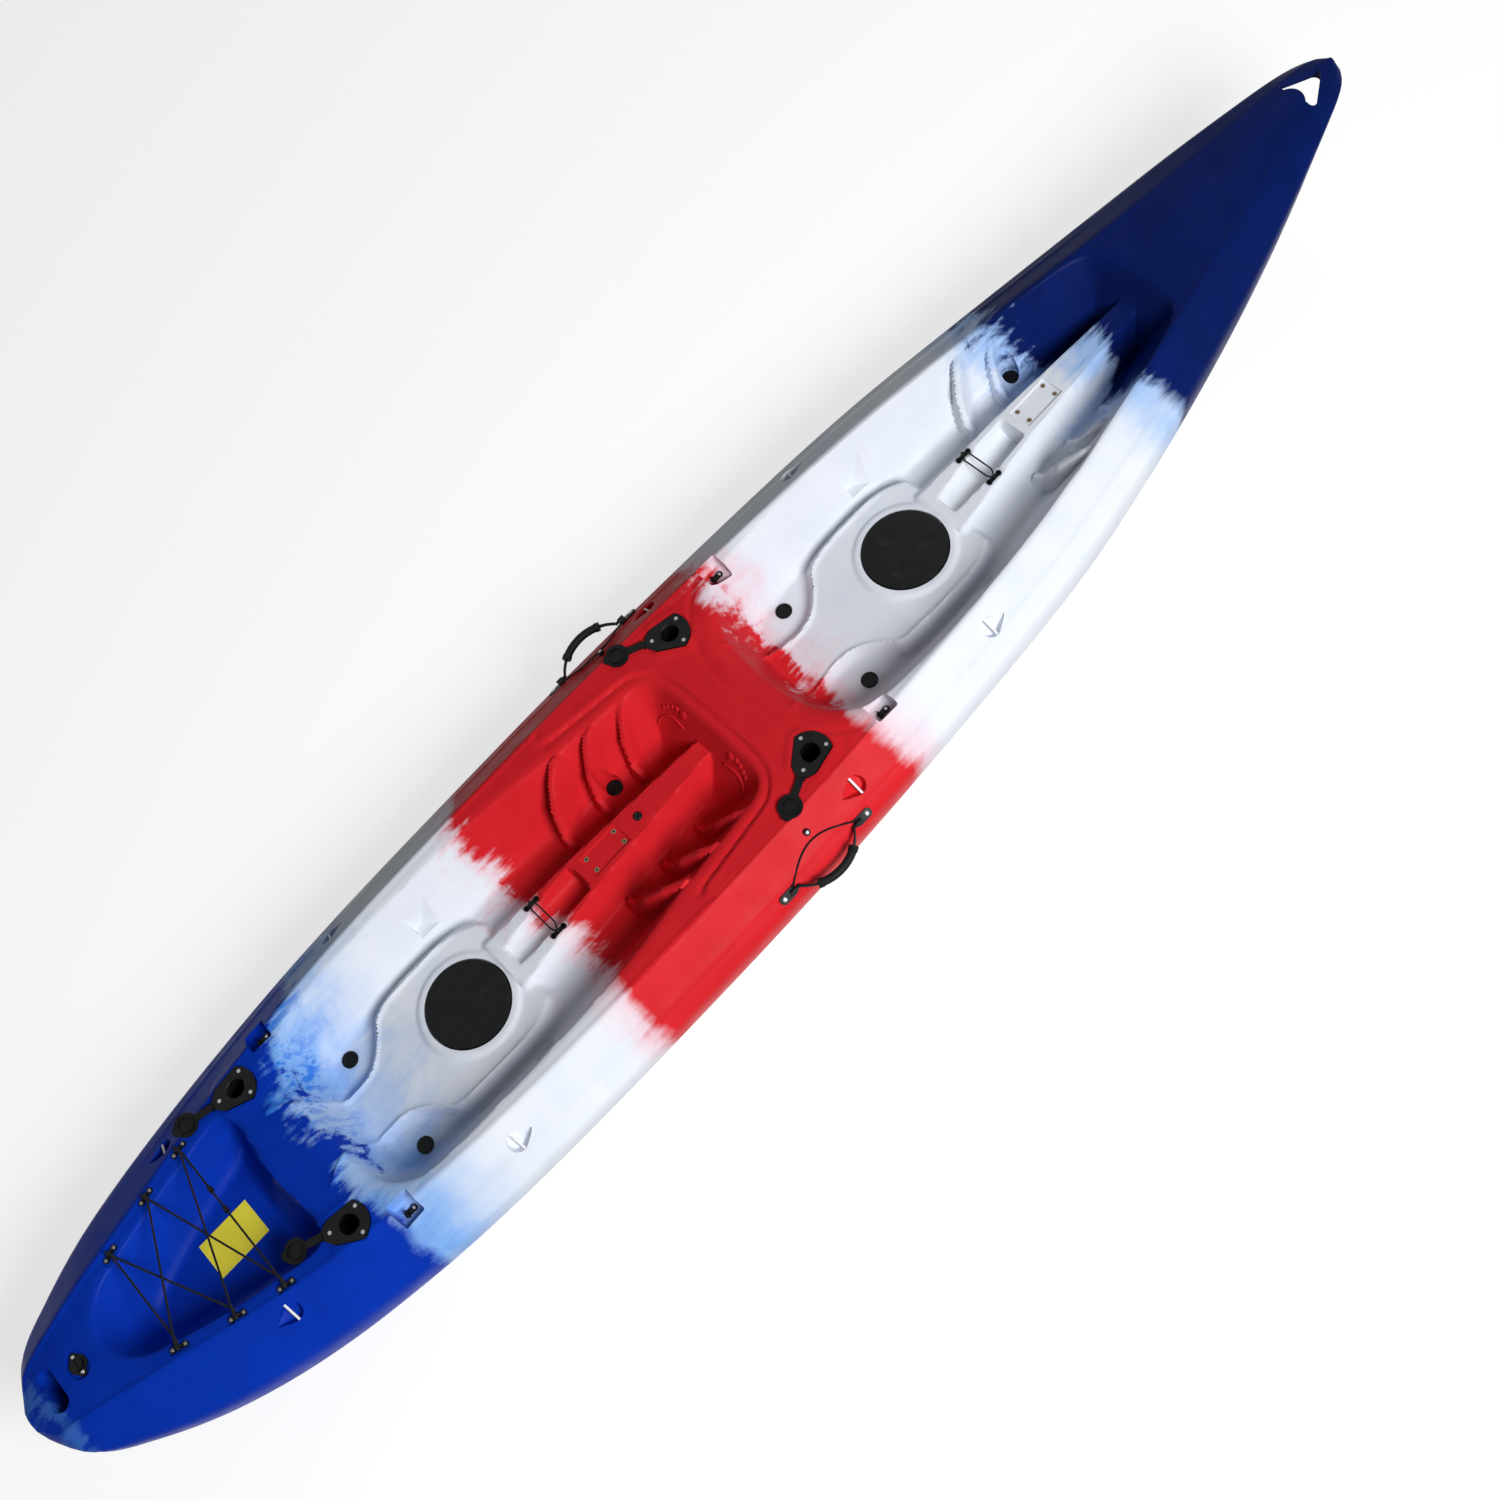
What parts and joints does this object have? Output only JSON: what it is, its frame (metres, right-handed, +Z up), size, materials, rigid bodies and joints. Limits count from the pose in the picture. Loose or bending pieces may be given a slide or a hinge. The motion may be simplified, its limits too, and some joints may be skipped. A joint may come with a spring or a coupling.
{
  "type": "tandem sit-on-top kayak",
  "caption": "Hollow moulded two-seat sit-on-top kayak with moulded seats and footwells, screw-down hatches, flush rod holders, a corded tankwell and side carry handles.",
  "frame": {"origin": "under the middle of the hull, on the ground that the keel rests on", "axes": "+X to the bow, +Y to port, +Z up"},
  "size_m": [4.3, 0.936, 0.3707],
  "materials": {
    "hull_polyethylene": "moulded, satin",
    "black_plastic": "moulded, satin",
    "black_rubber": "matt",
    "elastic_cord": "woven sleeve",
    "stainless_steel": "bright",
    "brass": "machined",
    "white_bar": "white coated",
    "yellow_vinyl": "plain"
  },
  "bodies": {
    "hull": {"hull": "hull_polyethylene", "cable_gland": "black_plastic", "console_cord_front": "elastic_cord", "console_cord_rear": "elastic_cord", "console_eyes_front": "black_plastic", "console_eyes_rear": "black_plastic", "cord_clips": "black_plastic", "drain_flange": "black_plastic", "drain_screws": "stainless_steel", "eye_screws": "stainless_steel", "handle_anchors_left": "black_plastic", "handle_anchors_right": "black_plastic", "hatch_ring_front": "black_plastic", "hatch_ring_rear": "black_plastic", "hatch_screws": "stainless_steel", "inserts_front": "brass", "inserts_rear": "brass", "keeper_buttons": "black_plastic", "keeper_cord_left": "elastic_cord", "keeper_cord_right": "elastic_cord", "panel": "yellow_vinyl", "rod_holder_front_left": "black_plastic", "rod_holder_front_right": "black_plastic", "rod_holder_rear_left": "black_plastic", "rod_holder_rear_right": "black_plastic", "rod_screws": "stainless_steel", "side_screws": "stainless_steel", "strap_eyes": "black_plastic", "strap_screws": "stainless_steel", "tank_cord_loop": "elastic_cord", "tank_eye_left_1": "black_plastic", "tank_eye_left_2": "black_plastic", "tank_eye_left_3": "black_plastic", "tank_eye_right_1": "black_plastic", "tank_eye_right_2": "black_plastic", "tank_eye_right_3": "black_plastic", "tie_bars": "white_bar"},
    "rod_cap_front_left": {"rod_cap_front_left": "black_plastic"},
    "rod_cap_front_right": {"rod_cap_front_right": "black_plastic"},
    "rod_cap_rear_left": {"rod_cap_rear_left": "black_plastic"},
    "rod_cap_rear_right": {"rod_cap_rear_right": "black_plastic"},
    "hatch_seal_front": {"hatch_seal_front": "black_rubber"},
    "hatch_cover_front": {"hatch_cover_front": "black_plastic"},
    "hatch_seal_rear": {"hatch_seal_rear": "black_rubber"},
    "hatch_cover_rear": {"hatch_cover_rear": "black_plastic"},
    "handle_left": {"handle_strap_left": "black_plastic", "handle_grip_left": "black_rubber"},
    "handle_right": {"handle_strap_right": "black_plastic", "handle_grip_right": "black_rubber"},
    "plug_seat_front_left": {"plug_seat_front_left": "black_rubber"},
    "plug_seat_front_right": {"plug_seat_front_right": "black_rubber"},
    "plug_foot_front_left": {"plug_foot_front_left": "black_rubber"},
    "plug_foot_front_right": {"plug_foot_front_right": "black_rubber"},
    "plug_seat_rear_left": {"plug_seat_rear_left": "black_rubber"},
    "plug_seat_rear_right": {"plug_seat_rear_right": "black_rubber"},
    "plug_foot_rear_left": {"plug_foot_rear_left": "black_rubber"},
    "plug_foot_rear_right": {"plug_foot_rear_right": "black_rubber"},
    "drain_washer": {"drain_washer": "black_rubber"},
    "drain_bung": {"drain_bung": "black_plastic"}
  },
  "joints": [
    {"name": "rod_cap_front_left_hinge", "type": "hinge", "parent": "hull", "child": "rod_cap_front_left", "pos_m": [0.01388, 0.26881, 0.3113], "axis": [0.4384, 0.8988, 0], "range_deg": [0, 179]},
    {"name": "rod_cap_front_right_hinge", "type": "hinge", "parent": "hull", "child": "rod_cap_front_right", "pos_m": [0.01388, -0.26881, 0.3113], "axis": [-0.4384, 0.8988, 0], "range_deg": [0, 179]},
    {"name": "rod_cap_rear_left_hinge", "type": "hinge", "parent": "hull", "child": "rod_cap_rear_left", "pos_m": [-1.43016, 0.23164, 0.3133], "axis": [0.1564, 0.9877, 0], "range_deg": [0, 174]},
    {"name": "rod_cap_rear_right_hinge", "type": "hinge", "parent": "hull", "child": "rod_cap_rear_right", "pos_m": [-1.42605, -0.19553, 0.3133], "axis": [0.3746, 0.9272, 0], "range_deg": [0, 187]},
    {"name": "hatch_front_lift", "type": "slide", "parent": "hull", "child": "hatch_seal_front", "axis": [0, 0, 1], "range_m": [0, 0.12]},
    {"name": "hatch_front_turn", "type": "hinge", "parent": "hatch_seal_front", "child": "hatch_cover_front", "pos_m": [0.608, 0, 0.2], "axis": [0, 0, 1], "range_deg": [0, 60]},
    {"name": "hatch_rear_lift", "type": "slide", "parent": "hull", "child": "hatch_seal_rear", "axis": [0, 0, 1], "range_m": [0, 0.12]},
    {"name": "hatch_rear_turn", "type": "hinge", "parent": "hatch_seal_rear", "child": "hatch_cover_rear", "pos_m": [-0.867, 0, 0.2], "axis": [0, 0, 1], "range_deg": [0, 60]},
    {"name": "handle_left_swing", "type": "hinge", "parent": "hull", "child": "handle_left", "pos_m": [-0.07, 0.41198, 0.23391], "axis": [1, 0, 0], "range_deg": [-12, 110]},
    {"name": "handle_right_swing", "type": "hinge", "parent": "hull", "child": "handle_right", "pos_m": [-0.07, -0.41198, 0.23391], "axis": [-1, 0, 0], "range_deg": [-12, 110]},
    {"name": "plug_seat_front_left_lift", "type": "slide", "parent": "hull", "child": "plug_seat_front_left", "axis": [0, 0, 1], "range_m": [0, 0.08]},
    {"name": "plug_seat_front_right_lift", "type": "slide", "parent": "hull", "child": "plug_seat_front_right", "axis": [0, 0, 1], "range_m": [0, 0.08]},
    {"name": "plug_foot_front_left_lift", "type": "slide", "parent": "hull", "child": "plug_foot_front_left", "axis": [0, 0, 1], "range_m": [0, 0.08]},
    {"name": "plug_foot_front_right_lift", "type": "slide", "parent": "hull", "child": "plug_foot_front_right", "axis": [0, 0, 1], "range_m": [0, 0.08]},
    {"name": "plug_seat_rear_left_lift", "type": "slide", "parent": "hull", "child": "plug_seat_rear_left", "axis": [0, 0, 1], "range_m": [0, 0.08]},
    {"name": "plug_seat_rear_right_lift", "type": "slide", "parent": "hull", "child": "plug_seat_rear_right", "axis": [0, 0, 1], "range_m": [0, 0.08]},
    {"name": "plug_foot_rear_left_lift", "type": "slide", "parent": "hull", "child": "plug_foot_rear_left", "axis": [0, 0, 1], "range_m": [0, 0.08]},
    {"name": "plug_foot_rear_right_lift", "type": "slide", "parent": "hull", "child": "plug_foot_rear_right", "axis": [0, 0, 1], "range_m": [0, 0.08]},
    {"name": "drain_rise", "type": "slide", "parent": "hull", "child": "drain_washer", "axis": [0, 0, 1], "range_m": [0, 0.012]},
    {"name": "drain_turn", "type": "hinge", "parent": "drain_washer", "child": "drain_bung", "pos_m": [-1.986, 0, 0.341], "axis": [0, 0, 1], "range_deg": [0, 1440]}
  ],
  "couplings": [
    {"joint": "drain_turn", "follows": "drain_rise", "rad_per_m": 2094.4}
  ]
}
